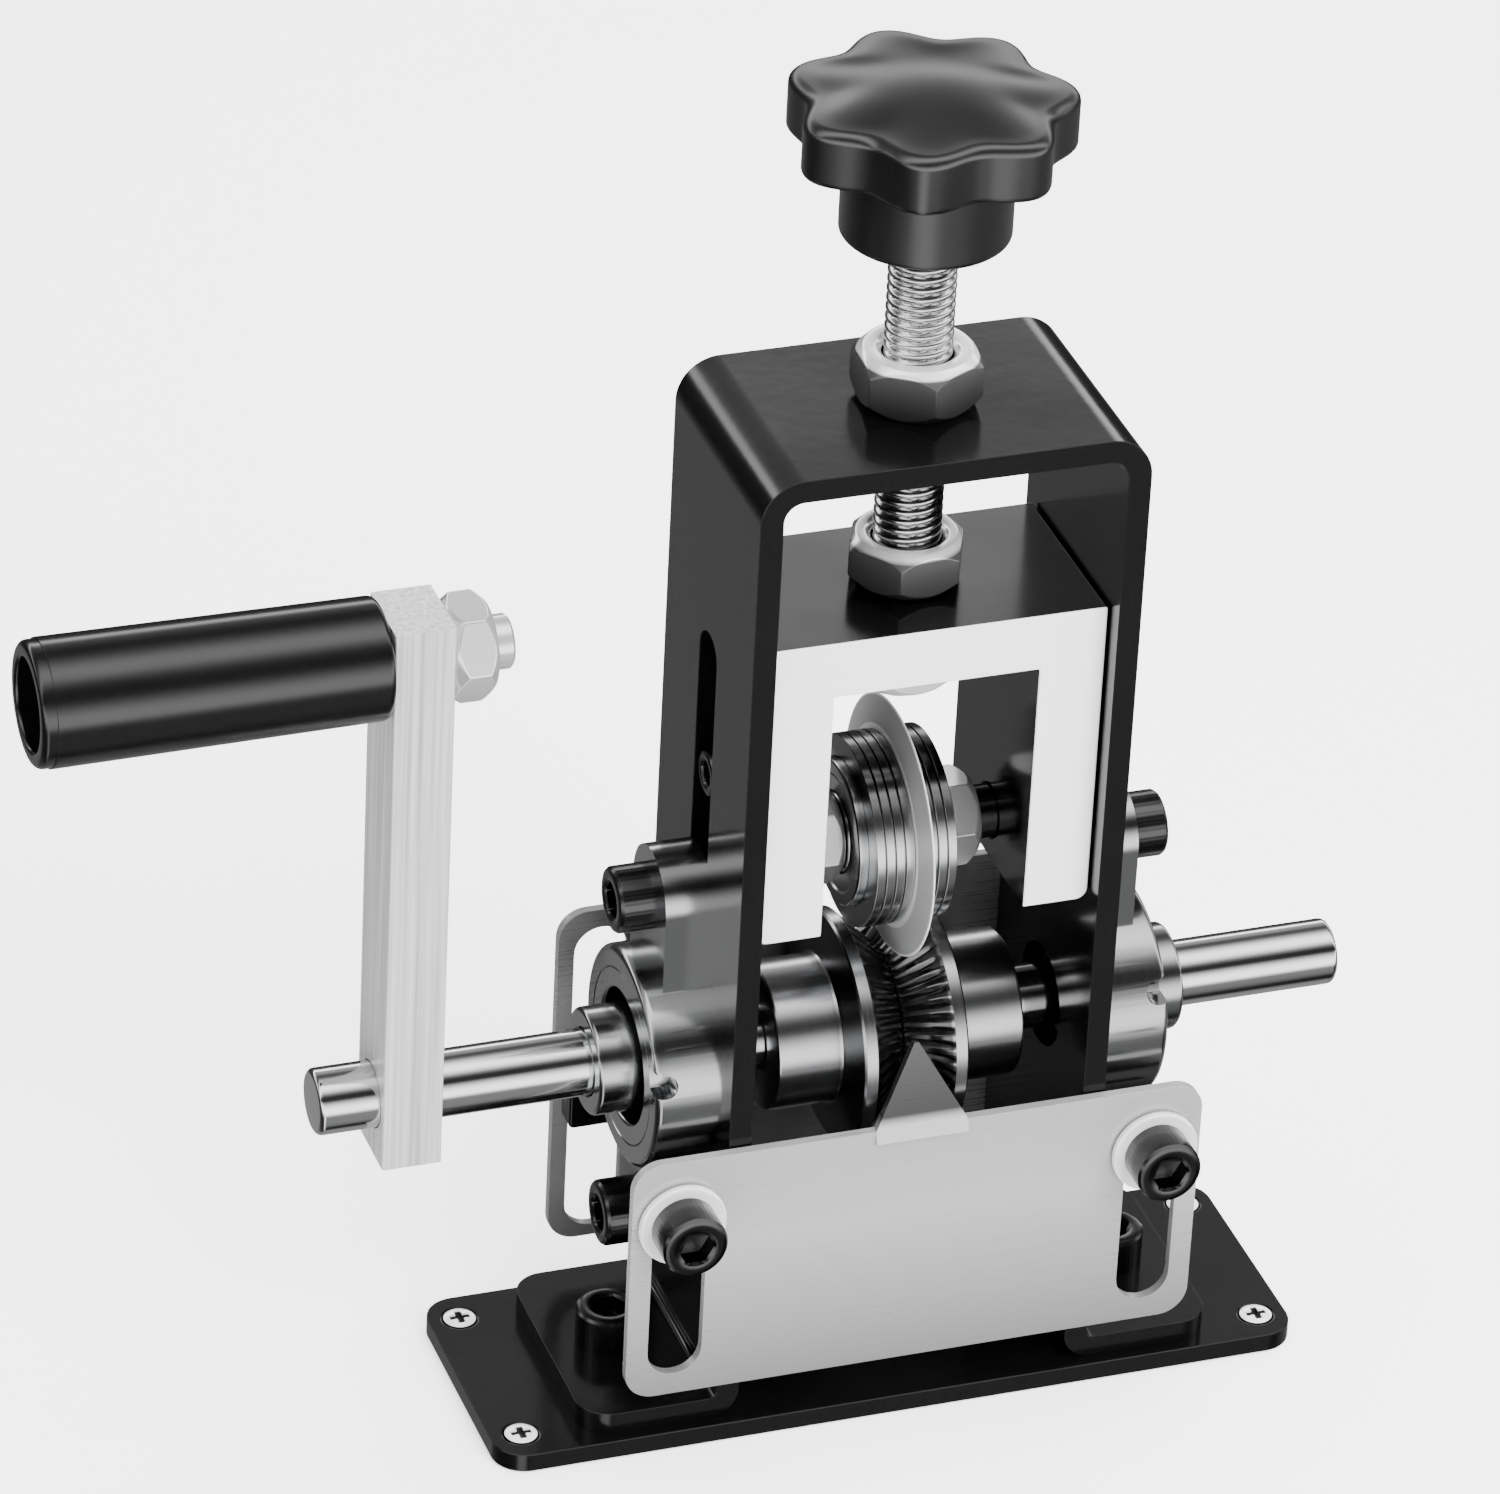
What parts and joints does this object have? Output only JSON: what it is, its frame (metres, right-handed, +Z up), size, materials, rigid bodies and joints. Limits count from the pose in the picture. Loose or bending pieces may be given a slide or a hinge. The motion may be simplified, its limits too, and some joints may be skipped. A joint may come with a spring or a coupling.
{
  "type": "hand crank wire stripper",
  "caption": "Bench wire stripper: a crank turns two toothed rollers under a round blade that a star knob lowers in an upright frame.",
  "frame": {"origin": "centre of the base plate's underside", "axes": "+X along the drive shaft from the crank to the drive end, +Y away from the operator, +Z up"},
  "size_m": [0.2022, 0.0566, 0.2136],
  "materials": {
    "gloss_black_paint": "gloss powder coat",
    "dark_chrome": "smoked chrome",
    "chrome": "ground and plated",
    "dark_steel": "hardened, oiled",
    "bright_steel": "turned",
    "blade_steel": "ground",
    "brushed_aluminium": "brushed along its length",
    "satin_aluminium": "satin",
    "stainless": "brushed sheet",
    "zinc": "bright zinc plate",
    "black_oxide": "black oxide",
    "black_grip": "smooth",
    "black_plastic": "satin moulded"
  },
  "bodies": {
    "frame": {"base_plate": "gloss_black_paint", "base_screw_front_left": "zinc", "base_screw_front_right": "zinc", "base_screw_rear_left": "zinc", "base_screw_rear_right": "zinc", "frame_bracket": "gloss_black_paint", "foot_bolt_left": "black_oxide", "foot_bolt_right": "black_oxide", "lead_nut": "dark_chrome", "plate_lug_front_left": "gloss_black_paint", "plate_lug_front_right": "gloss_black_paint", "plate_lug_rear_left": "gloss_black_paint", "plate_lug_rear_right": "gloss_black_paint", "plate_screw_front_left": "black_oxide", "plate_screw_front_right": "black_oxide", "plate_screw_rear_left": "black_oxide", "plate_screw_rear_right": "black_oxide", "plate_washer_front_left": "zinc", "plate_washer_front_right": "zinc", "plate_washer_rear_left": "zinc", "plate_washer_rear_right": "zinc", "bearing_housing_left": "dark_chrome", "bearing_housing_right": "dark_chrome", "bearing_outer_ring_left": "dark_chrome", "bearing_outer_ring_right": "dark_chrome", "housing_bolt_left_upper": "black_oxide", "housing_bolt_left_lower": "black_oxide", "housing_bolt_right_upper": "black_oxide", "housing_bolt_right_lower": "black_oxide"},
    "crank": {"drive_shaft": "chrome", "feed_roller_left": "dark_steel", "feed_roller_right": "dark_steel", "roller_grub_screw_left": "black_oxide", "roller_grub_screw_right": "black_oxide", "bearing_collar_left": "dark_chrome", "bearing_collar_right": "dark_chrome", "crank_arm": "brushed_aluminium", "arm_set_screw": "black_oxide", "grip_bolt": "zinc", "grip_nut": "zinc"},
    "handle": {"grip": "black_grip"},
    "carriage": {"carriage_block": "satin_aluminium", "guide_pin_left": "black_oxide", "guide_pin_right": "black_oxide", "blade_axle": "bright_steel", "axle_nut_left": "bright_steel", "axle_nut_right": "bright_steel", "blade_bearing_inner_ring_left": "bright_steel", "blade_bearing_inner_ring_right": "bright_steel"},
    "cutter": {"blade": "blade_steel", "spacer_washers_left": "bright_steel", "spacer_washers_right": "bright_steel", "blade_bearing_outer_ring_left": "dark_steel", "blade_bearing_outer_ring_right": "dark_steel"},
    "screw": {"lead_screw": "bright_steel", "collar_nut": "bright_steel", "retaining_nut": "bright_steel", "knob": "black_plastic"},
    "front_plate": {"front_guide_plate": "stainless"},
    "rear_plate": {"rear_guide_plate": "stainless"}
  },
  "joints": [
    {"name": "crank_turn", "type": "hinge", "parent": "frame", "child": "crank", "pos_m": [0, 0, 0.057], "axis": [1, 0, 0], "continuous": true},
    {"name": "grip_spin", "type": "hinge", "parent": "crank", "child": "handle", "pos_m": [-0.1, 0, 0.131], "axis": [1, 0, 0], "continuous": true},
    {"name": "carriage_slide", "type": "slide", "parent": "frame", "child": "carriage", "axis": [0, 0, 1], "range_m": [-0.0015, 0.017]},
    {"name": "knob_turn", "type": "hinge", "parent": "carriage", "child": "screw", "pos_m": [0, 0, 0.2], "axis": [0, 0, 1], "range_deg": [-361, 4082]},
    {"name": "blade_spin", "type": "hinge", "parent": "carriage", "child": "cutter", "pos_m": [0, 0, 0.0908], "axis": [1, 0, 0], "continuous": true},
    {"name": "front_plate_slide", "type": "slide", "parent": "frame", "child": "front_plate", "axis": [0, 0, 1], "range_m": [-0.002, 0.01]},
    {"name": "rear_plate_slide", "type": "slide", "parent": "frame", "child": "rear_plate", "axis": [0, 0, 1], "range_m": [-0.008, 0.02]}
  ],
  "couplings": [
    {"joint": "knob_turn", "follows": "carriage_slide", "rad_per_m": 4188.8}
  ]
}
